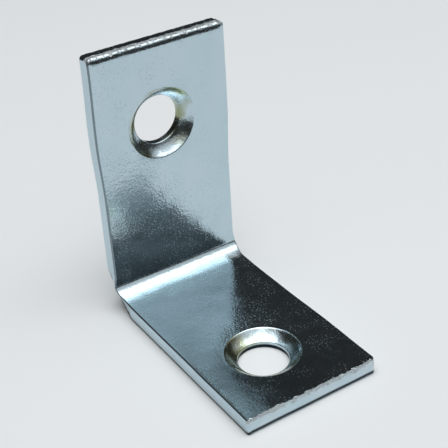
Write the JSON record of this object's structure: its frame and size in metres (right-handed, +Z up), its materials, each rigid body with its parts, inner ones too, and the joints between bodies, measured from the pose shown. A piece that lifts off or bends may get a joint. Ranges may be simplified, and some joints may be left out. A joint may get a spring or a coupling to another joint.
{
  "type": "angle bracket",
  "caption": "Small folded steel angle bracket with a countersunk screw hole in each leg, bright zinc plated.",
  "frame": {"origin": "centre of the bracket's box, on its underside", "axes": "+X along the base leg from the heel to its end, +Y across the strip, +Z up the upright leg"},
  "size_m": [0.03, 0.0176, 0.0325],
  "materials": {
    "zinc_plated_steel": "bright zinc electroplate with a clear blue passivation, semi-gloss with a fine ripple"
  },
  "bodies": {
    "root": {"bracket": "zinc_plated_steel"}
  },
  "joints": []
}
